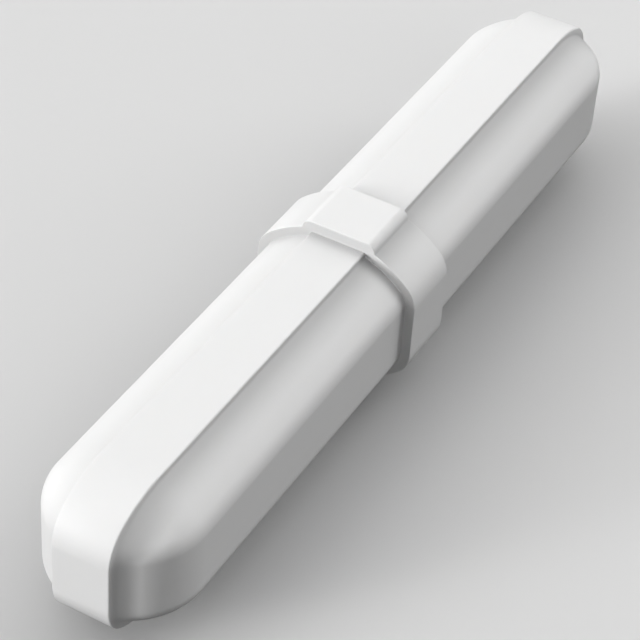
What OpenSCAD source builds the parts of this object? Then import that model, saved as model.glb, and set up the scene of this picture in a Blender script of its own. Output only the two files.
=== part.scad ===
// Magnetic stir bar: an eight-sided moulded jacket with a raised band along it
// and a pivot ring round its middle, and a rod magnet sealed inside.
// The bar lies along X and stands on its ring: the origin is the middle of the
// ring's underside, with +Z up.

/* [Body] */
// Length over the band's two end faces
bar_len = 50; // [30:0.5:80]
// Width of the body across its two side walls
body_w = 8.16; // [7.6:0.04:10]
// Height of the flat part of each side wall
side_wall_h = 3.04; // [2:0.04:3.4]
// Radius of the bend from a side wall into the flank above or below it
wall_bend_r = 1.25; // [0.8:0.05:1.8]
// Radius of the gentle crown across each flank
flank_r = 5.8; // [4.6:0.1:8]
// How far the body's round end stops short of the band's end face
end_setback = 0.05; // [0.02:0.01:1]

/* [Band] */
// Height over the band, from its underside to its top
band_h = 8; // [7.4:0.1:8.6]
// Width of the band
band_w = 3.14; // [2.4:0.02:3.8]
// Drop from the top of the band to the flank beside it
band_step = 0.28; // [0.1:0.02:0.5]
// Radius of the easy curve in which the band's top starts to fall towards each end
band_ease_r = 6.2; // [5:0.1:7.2]
// Angle through which the easy curve turns, in degrees
band_ease_angle = 26; // [10:1:32]
// Radius of the tighter bend from the easy curve down into each end face
band_bend_r = 2.3; // [1.6:0.05:2.7]

/* [Pivot ring] */
// Length of the ring along the bar
ring_len = 3.55; // [1.5:0.05:8]
// Height over the ring, from its underside to its top
ring_h = 9.2; // [9:0.02:10.4]
// How far the ring stands out of the side walls, the flanks and the band's edges
ring_proud = 0.53; // [0.2:0.01:0.8]
// Radius of the ring's shoulders beside its flat top and underside
ring_shoulder_r = 0.5; // [0.1:0.05:0.6]

/* [Magnet] */
// Diameter of the rod magnet
magnet_d = 5; // [3:0.1:5.6]
// Thickness of the jacket between an end of the magnet and the band's end face
end_wall = 4; // [3:0.1:10]
// Bevel round each end of the magnet
magnet_bevel = 0.3; // [0.1:0.05:0.8]
// Gap left round the magnet when the jacket is moulded over it
magnet_gap = 0.02; // [0.01:0.01:0.1]

/* [Hidden] */
$fn = 96;
bend_steps = 8;
flank_steps = 7;
shoulder_steps = 6;
ease_steps = 6;
band_bend_steps = 12;
magnet_len = bar_len - 2 * end_wall;
bar_z = ring_h / 2;

// Centre of the body's round end, measured from the middle of the bar
end_centre_x = bar_len / 2 - end_setback - body_w / 2;

// The upper quarter of the body's section: the flank ends at the band's foot,
// and its arc runs on from the arc of the wall bend without a corner.
bend_centre = [body_w / 2 - wall_bend_r, side_wall_h / 2];
band_foot = [band_w / 2, band_h / 2 - band_step];
to_foot = band_foot - bend_centre;
centres_apart = flank_r - wall_bend_r;
foot_angle = atan2(to_foot.y, to_foot.x);
turn = acos((pow(centres_apart, 2) + to_foot * to_foot - pow(flank_r, 2))
    / (2 * centres_apart * norm(to_foot)));
bend_angle = foot_angle + turn - 180;
flank_centre = bend_centre - centres_apart * [cos(bend_angle), sin(bend_angle)];

// Points of an arc round a centre; first = 1 leaves out its start, where a line ends
function arc(centre, radius, start, end, steps, first = 0) =
    [for (i = [first : steps])
        let (a = start + (end - start) * i / steps)
        centre + radius * [cos(a), sin(a)]];

// Points of a list in the opposite order
function reversed(points) = [for (i = [len(points) - 1 : -1 : 0]) points[i]];

// A quarter outline from the side wall to the top, carried round all four quarters
function all_quarters(quarter) = concat(
    quarter,
    [for (p = reversed(quarter)) [-p.x, p.y]],
    [for (p = quarter) [-p.x, -p.y]],
    [for (p = reversed(quarter)) [p.x, -p.y]]);

// Side wall, wall bend and flank, moved outwards by "out" and cut off at y = inner_y
function flank_line(out, inner_y) = concat(
    arc(bend_centre, wall_bend_r + out, 0, bend_angle, bend_steps),
    arc(flank_centre, flank_r + out, bend_angle,
        acos((inner_y - flank_centre.x) / (flank_r + out)), flank_steps, 1));

module body_section() {
    polygon(all_quarters(flank_line(0, band_foot.x)));
}

module ring_section() {
    shoulder_x = band_w / 2 + ring_proud;
    shoulder_centre = [shoulder_x - ring_shoulder_r, ring_h / 2 - ring_shoulder_r];
    polygon(all_quarters(concat(
        flank_line(ring_proud, shoulder_x),
        arc(shoulder_centre, ring_shoulder_r, 0, 90, shoulder_steps))));
}

// A section drawn in the Y-Z plane, made into a bar of the given length along X
module along_bar(length) {
    rotate([90, 0, 90]) linear_extrude(height = length, center = true) children();
}

// Half of the body's section turned about a vertical axis: one round end
module round_end() {
    translate([end_centre_x, 0, 0])
        rotate([0, 0, -90])
            rotate_extrude(angle = 180)
                intersection() {
                    body_section();
                    translate([0, -band_h]) square([body_w, 2 * band_h]);
                }
}

module body() {
    along_bar(2 * end_centre_x) body_section();
    round_end();
    mirror([1, 0, 0]) round_end();
}

// The raised band: it runs over the top, down both ends and back along the underside
module band() {
    centres = (band_ease_r - band_bend_r) * [sin(band_ease_angle), cos(band_ease_angle)];
    ease_centre = [bar_len / 2 - band_bend_r - centres.x, band_h / 2 - band_ease_r];
    rotate([90, 0, 0])
        linear_extrude(height = band_w, center = true)
            polygon(all_quarters(concat(
                arc(ease_centre + centres, band_bend_r, 0, 90 - band_ease_angle,
                    band_bend_steps),
                arc(ease_centre, band_ease_r, 90 - band_ease_angle, 90, ease_steps, 1))));
}

// The rod magnet's form, grown all round by "gap"
module magnet_rod(gap) {
    r = magnet_d / 2 + gap;
    half = magnet_len / 2 + gap;
    rotate([0, 90, 0])
        rotate_extrude()
            polygon([
                [0, -half],
                [r - magnet_bevel, -half],
                [r, magnet_bevel - half],
                [r, half - magnet_bevel],
                [r - magnet_bevel, half],
                [0, half]]);
}

// One moulding: body, band and pivot ring, closed round the magnet
module jacket() {
    color("white")
        translate([0, 0, bar_z])
            difference() {
                union() {
                    body();
                    band();
                    along_bar(ring_len) ring_section();
                }
                magnet_rod(magnet_gap);
            }
}

module magnet() {
    color("dimgray")
        translate([0, 0, bar_z])
            magnet_rod(0);
}

jacket();
magnet();
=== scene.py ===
import math

import bmesh
import bpy
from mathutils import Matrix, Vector


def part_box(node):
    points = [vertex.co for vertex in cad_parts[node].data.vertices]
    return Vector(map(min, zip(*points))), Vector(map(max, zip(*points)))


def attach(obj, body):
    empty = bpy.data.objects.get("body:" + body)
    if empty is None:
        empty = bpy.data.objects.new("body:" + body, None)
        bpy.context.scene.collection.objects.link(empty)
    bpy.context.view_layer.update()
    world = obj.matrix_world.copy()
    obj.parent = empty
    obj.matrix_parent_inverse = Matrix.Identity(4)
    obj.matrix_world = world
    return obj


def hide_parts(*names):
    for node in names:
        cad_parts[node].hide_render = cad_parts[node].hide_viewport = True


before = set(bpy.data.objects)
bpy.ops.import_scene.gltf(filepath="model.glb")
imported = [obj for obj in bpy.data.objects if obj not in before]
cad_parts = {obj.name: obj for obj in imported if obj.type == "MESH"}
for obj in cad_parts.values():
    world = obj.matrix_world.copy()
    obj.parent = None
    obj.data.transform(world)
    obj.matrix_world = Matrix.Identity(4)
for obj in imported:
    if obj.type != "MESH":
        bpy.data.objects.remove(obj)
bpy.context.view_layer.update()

# --- Camera -------------------------------------------------------------------
# A long lens looks down along the bar from past its near end, so that the band's
# top, one flank and one side wall, and the ring's front all show.
mm = 0.001
bpy.ops.object.camera_add(
    location=(-86.878 * mm, -42.551 * mm, 85.214 * mm),
    rotation=(math.radians(49.2023), math.radians(-3.2853), math.radians(-60.2337)))
camera = bpy.context.object
camera.data.sensor_width = 36
camera.data.lens = 136.051
camera.data.clip_start = 1 * mm
bpy.context.scene.camera = camera

# --- Jacket -------------------------------------------------------------------
# White PTFE, moulded and sintered in one piece over the magnet: an eight-sided body
# with round ends, a raised band along its top, ends and underside, and a pivot ring
# round its middle. The mould eases each edge and fills each corner with a small radius.
jacket_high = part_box("jacket")[1]
bar_z = jacket_high.z / 2
ring_top = bar_z
ring_side = jacket_high.y
ring_proud = 0.53 * mm
ring_end = 1.775 * mm
ring_shoulder_r = 0.5 * mm
ring_edge_r = 0.04 * mm
ring_foot_r = 0.03 * mm
body_side = ring_side - ring_proud
body_end = jacket_high.x - 0.05 * mm
end_centre = body_end - body_side
wall_top = 1.52 * mm
wall_bend_r = 1.25 * mm
flank_r = 5.8 * mm
band_top = 4 * mm
band_side = 1.57 * mm
band_step = 0.28 * mm
band_ease_r = 6.2 * mm
band_ease_angle = math.radians(26)
band_bend_r = 2.3 * mm
band_edge_r = 0.09 * mm
band_foot_r = 0.12 * mm
end_foot_r = 0.3 * mm
ease_steps = 8
bend_steps = 16
flank_steps = 12
wall_bend_steps = 12
edge_turns = range(0, 91, 18)
foot_turns = range(0, 81, 10)
corner_angle = math.radians(60)
smooth_angle = math.radians(40)
# Places nearer than this count as one, and than a hair where lines lie close together
tiny = 0.002 * mm
hair = 0.0005 * mm

# The flank's arc runs from the band's foot into the bend over the side wall
bend_centre = Vector((body_side - wall_bend_r, wall_top))
to_foot = Vector((band_side, band_top - band_step)) - bend_centre
inner_r = flank_r - wall_bend_r
lean = math.acos((inner_r ** 2 + to_foot.length ** 2 - flank_r ** 2)
                 / (2 * inner_r * to_foot.length))
bend_angle = math.atan2(to_foot.y, to_foot.x) + lean - math.pi
flank_centre = bend_centre - inner_r * Vector((math.cos(bend_angle), math.sin(bend_angle)))
bend_y = bend_centre.x + wall_bend_r * math.cos(bend_angle)
bend_z = bend_centre.y + wall_bend_r * math.sin(bend_angle)


def beside_band(y, centre, radius, foot_r):
    """How far out an arc of the body reaches at y, with its fillet against the band."""
    fillet_y = band_side + foot_r
    if y < centre.x + (fillet_y - centre.x) * radius / (radius + foot_r):
        fillet_out = math.sqrt((radius + foot_r) ** 2 - (fillet_y - centre.x) ** 2)
        return centre.y + fillet_out - math.sqrt(max(0, foot_r ** 2 - (fillet_y - y) ** 2))
    return centre.y + math.sqrt(radius ** 2 - (y - centre.x) ** 2)


def side_at(z):
    """Half the body's width at a height on the flank or on the bend below it."""
    centre, radius = (bend_centre, wall_bend_r) if z < bend_z else (flank_centre, flank_r)
    return centre.x + math.sqrt(radius ** 2 - (z - centre.y) ** 2)


def plain_reach(y):
    """How far the body without its fillets reaches at y, from the corner of side_at."""
    centre, radius = (flank_centre, flank_r) if y < bend_y else (bend_centre, wall_bend_r)
    height = centre.y + math.sqrt(max(0, radius ** 2 - (y - centre.x) ** 2))
    return Vector((math.sqrt(body_side ** 2 - y ** 2), height - wall_top))


def pick(wanted):
    """Selects the vertices, and the edges and faces between them, that pass a test."""
    mesh = bmesh.from_edit_mesh(bpy.context.object.data)
    for face in mesh.faces:
        face.select = False
    for edge in mesh.edges:
        edge.select = False
    for vertex in mesh.verts:
        vertex.select = wanted(vertex.co)
    mesh.select_flush(True)
    bmesh.update_edit_mesh(bpy.context.object.data)


def stretch(x=1, z=1, about=(0, 0, 0)):
    bpy.ops.transform.resize(value=(x, 1, z), center_override=about)


def start_piece(name):
    """Names the new primitive and opens it for modelling."""
    piece = bpy.context.object
    piece.name = name
    piece.data.name = name
    bpy.ops.object.mode_set(mode="EDIT")
    bpy.ops.mesh.select_mode(type="VERT")
    return piece


def apply_modifier(piece, kind, **settings):
    modifier = piece.modifiers.new(kind.title(), kind)
    for name, value in settings.items():
        setattr(modifier, name, value)
    bpy.ops.object.modifier_apply(modifier=modifier.name)


# The outline starts from a point on the band's middle line: along the top, down an easy
# curve that runs on into a tighter bend, and straight down the end
ease_to_bend = (band_ease_r - band_bend_r) * Vector(
    (math.sin(band_ease_angle), math.cos(band_ease_angle)))
bend_at = Vector((jacket_high.x - band_bend_r, band_top - band_ease_r + ease_to_bend.y))
ease_at = bend_at - ease_to_bend
# Its rounded part starts from this corner and reaches so far along and so far up
corner = Vector((ease_at.x, bend_at.y))
reach = Vector((jacket_high.x, band_top)) - corner


def draw_arc(centre, turn, steps, axis):
    """Spins the last vertex round a centre, by a right-handed turn about the axis."""
    bpy.ops.mesh.spin(steps=steps, angle=-turn, center=centre, axis=axis)


bpy.ops.mesh.primitive_plane_add(size=1 * mm, location=(ring_end, 0, band_top))
bpy.ops.object.transform_apply(location=True)
jacket = start_piece("jacket_moulding")
bpy.ops.mesh.merge(type="CENTER")
bpy.ops.mesh.extrude_vertices_move(
    TRANSFORM_OT_translate={"value": (ease_at.x - ring_end, 0, 0)})
draw_arc((ease_at.x, 0, ease_at.y), band_ease_angle, ease_steps, (0, 1, 0))
draw_arc((bend_at.x, 0, bend_at.y), math.pi / 2 - band_ease_angle, bend_steps, (0, 1, 0))
bpy.ops.mesh.extrude_vertices_move(
    TRANSFORM_OT_translate={"value": (0, 0, -bend_at.y)})

# It is extruded across the bar from there to the side wall, one strip at a time, and
# each new line is stretched to the height and length that the moulding has at that y
strips = []
for turn in edge_turns:
    inset = band_edge_r * (1 - math.cos(math.radians(turn)))
    strips.append((band_side - band_edge_r + band_edge_r * math.sin(math.radians(turn)),
                   corner, reach - Vector((inset, inset))))
side_corner = Vector((end_centre, wall_top))
end_plan = Vector((0, end_centre))
for turn in foot_turns:
    y = band_side + end_foot_r * (1 - math.cos(math.radians(turn)))
    strips.append((y, side_corner, Vector((
        beside_band(y, end_plan, body_side, end_foot_r) - side_corner.x,
        beside_band(y, flank_centre, flank_r, band_foot_r) - side_corner.y))))
foot_y = strips[-1][0]
for step in range(1, flank_steps + 1):
    y = foot_y + (bend_y - foot_y) * step / flank_steps
    strips.append((y, side_corner, plain_reach(y)))
for step in range(1, wall_bend_steps):
    turn = bend_angle * (1 - step / wall_bend_steps)
    y = bend_centre.x + wall_bend_r * math.cos(turn)
    strips.append((y, side_corner, plain_reach(y)))


def turn_end(y, reach):
    """Sets the open line's rounded part in to the body's end, which is its section
    turned about an upright axis."""
    plain = plain_reach(y)
    mesh = bmesh.from_edit_mesh(jacket.data)
    for vertex in mesh.verts:
        at = vertex.co
        if vertex.select and at.z > wall_top - tiny and at.x > end_centre - tiny:
            side = side_at(wall_top + (at.z - wall_top) * plain.y / reach.y)
            along = math.sqrt(max(0, side ** 2 - y ** 2))
            at.x = end_centre + along * reach.x / plain.x
    bmesh.update_edit_mesh(jacket.data)


pick(lambda at: True)
last_y = 0
for y, next_corner, next_reach in strips:
    bpy.ops.mesh.extrude_edges_move(
        TRANSFORM_OT_translate={"value": (0, y - last_y, 0)})
    pick(lambda at: abs(at.y - y) < hair and at.x > corner.x - tiny)
    stretch(x=next_reach.x / reach.x, about=(corner.x, y, 0))
    bpy.ops.transform.translate(value=(next_corner.x - corner.x, 0, 0))
    pick(lambda at: abs(at.y - y) < hair and at.z > corner.y - tiny)
    stretch(z=next_reach.y / reach.y, about=(0, y, corner.y))
    bpy.ops.transform.translate(value=(0, 0, next_corner.y - corner.y))
    pick(lambda at: abs(at.y - y) < hair)
    last_y, corner, reach = y, next_corner, next_reach
    if corner == side_corner:
        turn_end(y, reach)
# The side wall closes below the last strip, where the corner has shrunk to a point
bpy.ops.mesh.extrude_edges_move(
    TRANSFORM_OT_translate={"value": (0, body_side - last_y, 0)})
pick(lambda at: at.y > body_side - tiny and at.x > end_centre - tiny)
stretch(x=0, about=(end_centre, 0, 0))
pick(lambda at: at.y > body_side - tiny and at.z > wall_top - tiny)
stretch(z=0, about=(0, 0, wall_top))
pick(lambda at: True)
bpy.ops.mesh.remove_doubles(threshold=hair)
pick(lambda at: at.y > body_side - tiny and at.z > wall_top - tiny)
bpy.ops.mesh.extrude_edges_move(TRANSFORM_OT_translate={"value": (0, 0, -wall_top)})

# The pivot ring's outline is drawn from the band's top, arc by arc, in the plane of
# its front face, which is filled, and then extruded back to the middle of the bar
ring_flank_r = flank_r + ring_proud
ring_side_step = band_side + ring_proud
ring_shoulder = Vector((ring_side_step - ring_shoulder_r, ring_top - ring_shoulder_r))
# The shoulder runs straight on into the fillet at its foot, which touches the flank
shoulder_foot_r = 0.1 * mm
to_shoulder = ring_shoulder - flank_centre
foot_reach = ring_flank_r + shoulder_foot_r
shoulder_angle = math.atan2(to_shoulder.y, to_shoulder.x) - math.acos(
    (to_shoulder.length ** 2 + foot_reach ** 2
     - (ring_shoulder_r + shoulder_foot_r) ** 2) / (2 * to_shoulder.length * foot_reach))
shoulder_foot = flank_centre + foot_reach * Vector(
    (math.cos(shoulder_angle), math.sin(shoulder_angle)))
shoulder_end = math.atan2(shoulder_foot.y - ring_shoulder.y,
                          shoulder_foot.x - ring_shoulder.x)


def ring_arc(centre, turn, steps):
    """Draws an arc of the ring's front outline."""
    draw_arc((ring_end, centre.x, centre.y), turn, steps, (-1, 0, 0))


pick(lambda at: at.x < ring_end + tiny and at.y < tiny and at.z > band_top - tiny)
bpy.ops.mesh.extrude_vertices_move(
    TRANSFORM_OT_translate={"value": (0, 0, ring_top - band_top)})
bpy.ops.mesh.extrude_vertices_move(
    TRANSFORM_OT_translate={"value": (0, ring_shoulder.x, 0)})
ring_arc(ring_shoulder, math.pi / 2 - shoulder_end, steps=8)
ring_arc(shoulder_foot, shoulder_end - shoulder_angle, steps=5)
ring_arc(flank_centre, shoulder_angle - bend_angle, steps=12)
ring_arc(bend_centre, bend_angle, steps=10)
bpy.ops.mesh.extrude_vertices_move(TRANSFORM_OT_translate={"value": (0, 0, -wall_top)})
pick(lambda at: at.x < ring_end + tiny)
bpy.ops.mesh.edge_face_add()
pick(lambda at: at.x < ring_end + tiny and (
    at.y > body_side + tiny or at.z > band_top + tiny
    or (at.yz - flank_centre).length > ring_flank_r - ring_edge_r))
bpy.ops.mesh.extrude_edges_move(TRANSFORM_OT_translate={"value": (-ring_end, 0, 0)})
bpy.ops.object.mode_set(mode="OBJECT")

# This eighth of the moulding is mirrored three ways, and the ring's corners are eased
apply_modifier(jacket, "MIRROR", use_axis=(True, True, True), merge_threshold=tiny)
bpy.ops.object.mode_set(mode="EDIT")
pick(lambda at: True)
bpy.ops.mesh.remove_doubles(threshold=tiny)
bpy.ops.mesh.normals_make_consistent(inside=False)
for convex, radius in ((True, ring_edge_r), (False, ring_foot_r)):
    mesh = bmesh.from_edit_mesh(jacket.data)
    for edge in mesh.edges:
        edge.select = edge.is_convex == convex and edge.calc_face_angle() > corner_angle
    bmesh.update_edit_mesh(jacket.data)
    bpy.ops.mesh.bevel(offset=radius, segments=5, affect="EDGES")
bpy.ops.object.mode_set(mode="OBJECT")

# The sealed hollow round the magnet is a second shell whose faces look inwards
magnet_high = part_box("magnet")[1]
magnet_gap = 0.02 * mm
magnet_bevel = 0.3 * mm
hollow_r = magnet_high.y + magnet_gap
bpy.ops.mesh.primitive_cylinder_add(
    vertices=64, radius=hollow_r, depth=2 * (magnet_high.x + magnet_gap),
    rotation=(0, math.radians(90), 0))
bpy.ops.object.transform_apply(rotation=True)
hollow = start_piece("hollow")
mesh = bmesh.from_edit_mesh(hollow.data)
for edge in mesh.edges:
    edge.select = edge.calc_face_angle() > corner_angle
bmesh.update_edit_mesh(hollow.data)
bpy.ops.mesh.bevel(offset=magnet_bevel, segments=3, affect="EDGES")
pick(lambda at: True)
bpy.ops.mesh.flip_normals()
bpy.ops.object.mode_set(mode="OBJECT")
jacket.select_set(True)
bpy.context.view_layer.objects.active = jacket
bpy.ops.object.join()
bpy.ops.transform.translate(value=(0, 0, bar_z))
bpy.ops.object.transform_apply(location=True)
bpy.ops.object.shade_smooth_by_angle(angle=smooth_angle)
apply_modifier(jacket, "WEIGHTED_NORMAL", keep_sharp=True)

# The flank and the end wall shade softly into the foot of the band: their normals lean
# towards the band's side, less and less up to the crown of the flank or partway round
# the end, while the surface keeps to its arcs
lean_at_foot = 0.72
most_lean = 0.65
lean_foot = band_side + 0.15 * mm
flank_crown = 3.07 * mm
wall_crown = 2.6 * mm
# A normal's share of up on the end wall and on the flank, and of along on the fillet
# at the ring's foot
wall_up = 0.2
flank_up = 0.6
fillet_along = 0.3
body_lean = (band_side, lean_foot, flank_crown)
ring_lean = (ring_side_step, shoulder_foot.x - shoulder_foot_r * math.cos(shoulder_angle),
             flank_centre.x + (flank_crown - flank_centre.x) * ring_flank_r / flank_r)
normals = []
for loop in jacket.data.loops:
    at = jacket.data.vertices[loop.vertex_index].co
    normal = Vector(jacket.data.corner_normals[loop.index].vector)
    side, foot, crown = ring_lean if abs(at.x) < ring_end + tiny else body_lean
    steepness = (flank_up - abs(normal.z)) / (flank_up - wall_up)
    crown += (wall_crown - flank_crown) * min(1, max(0, steepness))
    across = abs(at.y)
    at_ring_foot = (abs(at.x) < ring_end + ring_foot_r + tiny
                    and abs(normal.x) > fillet_along)
    if side - tiny < across < crown and not at_ring_foot:
        share = min(most_lean, lean_at_foot * (crown - across) / (crown - foot))
        normal = normal.slerp(Vector((0, math.copysign(1, at.y), 0)), share)
    normals.append(normal)
jacket.data.normals_split_custom_set(normals)


class Channel:
    """A node's output, which adds Math nodes when it is used in an expression."""

    def __init__(self, graph, socket):
        self.graph = graph
        self.socket = socket

    def math(self, operation, first, second):
        return self.graph.add("ShaderNodeMath", {"operation": operation},
                              {0: first, 1: second})

    def __add__(self, other):
        return self.math("ADD", self, other)

    def __mul__(self, other):
        return self.math("MULTIPLY", self, other)

    __radd__ = __add__
    __rmul__ = __mul__


class Graph:
    """The nodes of one material or of the world."""

    def __init__(self, owner):
        owner.use_nodes = True
        self.tree = owner.node_tree

    def feed(self, socket, value):
        if isinstance(value, Channel):
            self.tree.links.new(value.socket, socket)
        else:
            socket.default_value = value

    def set(self, shader, **values):
        """Sets or links the shader's inputs, with _ for each space in their names."""
        for name, value in values.items():
            self.feed(self.tree.nodes[shader].inputs[name.replace("_", " ")], value)

    def add(self, kind, settings, inputs, output=0):
        node = self.tree.nodes.new(kind)
        for name, value in settings.items():
            setattr(node, name, value)
        for name, value in inputs.items():
            self.feed(node.inputs[name], value)
        return Channel(self, node.outputs[output])


class Finish(Graph):
    """A surface finish: one material, its shader and the nodes that drive it."""

    def __init__(self, name, **constants):
        self.material = bpy.data.materials.new(name)
        super().__init__(self.material)
        self.surface(**constants)

    def surface(self, **values):
        self.set("Principled BSDF", **values)

    def place(self):
        return self.add("ShaderNodeTexCoord", {}, {}, "Object")

    def noise(self, where, size, detail=2.0, roughness=0.5):
        return self.add("ShaderNodeTexNoise", {}, {
            "Vector": where, "Scale": 1 / size, "Detail": detail, "Roughness": roughness})

    def blend(self, share, first, second):
        """Mixes two colours: the Mix node's sockets 6, 7 and 2 are its colour ones."""
        return self.add("ShaderNodeMix", {"data_type": "RGBA"},
                        {"Factor": share, 6: first, 7: second}, 2)

    def bump(self, height, depth):
        return self.add("ShaderNodeBump", {}, {
            "Height": height, "Distance": depth, "Strength": 1.0}, "Normal")


# Sintered PTFE is a waxy near-white with faint clouds in it, a soft satin skin, and
# the fine tooth of the mould
ptfe = Finish("white_ptfe", IOR=1.35, Subsurface_Weight=0.1,
              Subsurface_Radius=(0.3 * mm, 0.28 * mm, 0.26 * mm), Subsurface_Scale=1.0)
where = ptfe.place()
clouds = ptfe.noise(where, size=5 * mm, detail=3.0)
satin = ptfe.noise(where, size=0.6 * mm, detail=3.0)
waves = ptfe.noise(where, size=1.1 * mm, detail=1.0)
tooth = ptfe.noise(where, size=0.16 * mm, detail=2.0)
waxy_white = (0.85, 0.85, 0.845, 1)
clear_white = (0.875, 0.875, 0.875, 1)
ptfe.surface(Base_Color=ptfe.blend(clouds, waxy_white, clear_white),
             Roughness=0.44 + 0.12 * satin,
             Normal=ptfe.bump(0.6 * tooth + waves, depth=0.004 * mm))
jacket.data.materials.append(ptfe.material)
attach(jacket, "root")
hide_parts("jacket")

# --- Magnet -------------------------------------------------------------------
# A cylinder of cast Alnico, ground to size, which leaves fine marks round it, with small
# bevels on its ends. The jacket is moulded shut over it, away from the liquid.
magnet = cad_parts["magnet"]
alnico = Finish("ground_alnico", Metallic=1.0)
where = alnico.place()
narrow_along = alnico.add("ShaderNodeMapping", {"vector_type": "POINT"},
                          {"Vector": where, "Scale": (14.0, 1.0, 1.0)})
streaks = alnico.noise(narrow_along, size=0.8 * mm, detail=3.0)
pores = alnico.noise(where, size=0.35 * mm, detail=4.0, roughness=0.65)
pore_grey = (0.19, 0.185, 0.18, 1)
ground_grey = (0.32, 0.315, 0.31, 1)
alnico.surface(Base_Color=alnico.blend(pores, pore_grey, ground_grey),
               Roughness=0.34 + 0.22 * streaks,
               Normal=alnico.bump(0.7 * streaks + 0.3 * pores, depth=0.006 * mm))
for slot in magnet.material_slots:
    slot.material = alnico.material

# --- Table and light ----------------------------------------------------------
# A plain pale table runs out of sight under the bar. The key comes in low from the left
# and widens upwards, a very broad lamp lights the top from behind, and weaker ones fill
# the front and the right. They light it directly, with nothing back from the table.


def seen_rays(graph):
    """1 for the rays that show a backdrop, and 0 for those that light the bar."""
    camera, glossy, transmission = (
        graph.add("ShaderNodeLightPath", {}, {}, f"Is {kind} Ray")
        for kind in ("Camera", "Glossy", "Transmission"))
    return graph.add("ShaderNodeMath", {"operation": "ADD", "use_clamp": True},
                     {0: camera + glossy, 1: transmission})


bpy.ops.mesh.primitive_plane_add(size=3, location=(0, 0, 0))
table = bpy.context.object
table.name = "table"
laminate = Finish("pale_laminate", Roughness=0.6)
seen_grey = (0.7, 0.7, 0.7, 1)
lighting_grey = (0.18, 0.18, 0.18, 1)
laminate.surface(Base_Color=laminate.blend(seen_rays(laminate), lighting_grey, seen_grey))
table.data.materials.append(laminate.material)

# Height and bearing in degrees, spread in degrees, and strength
for name, elevation, azimuth, spread, strength in (
        ("key", 10, 145, 12, 0.38), ("key_fill", 20, 140, 20, 0.23),
        ("key_soft", 30, 135, 60, 0.26), ("back", 50, 45, 120, 0.63),
        ("front", 20, 225, 60, 0.2), ("right", 30, 320, 40, 0.27),
        ("right_low", 10, 315, 20, 0.08)):
    bpy.ops.object.light_add(type="SUN", rotation=(
        0, math.radians(90 - elevation), math.radians(azimuth)))
    lamp = bpy.context.object
    lamp.name = name
    lamp.data.energy = math.pi * strength
    lamp.data.angle = math.radians(spread)
    lamp.data.cycles.max_bounces = 0
    lamp.data.cycles.use_multiple_importance_sampling = False

bpy.context.scene.world = bpy.data.worlds.new("studio")
studio = Graph(bpy.context.scene.world)
backdrop_grey = (0.8, 0.8, 0.8, 1)
studio.set("Background", Color=backdrop_grey, Strength=seen_rays(studio))
bpy.context.scene.view_settings.view_transform = "Standard"
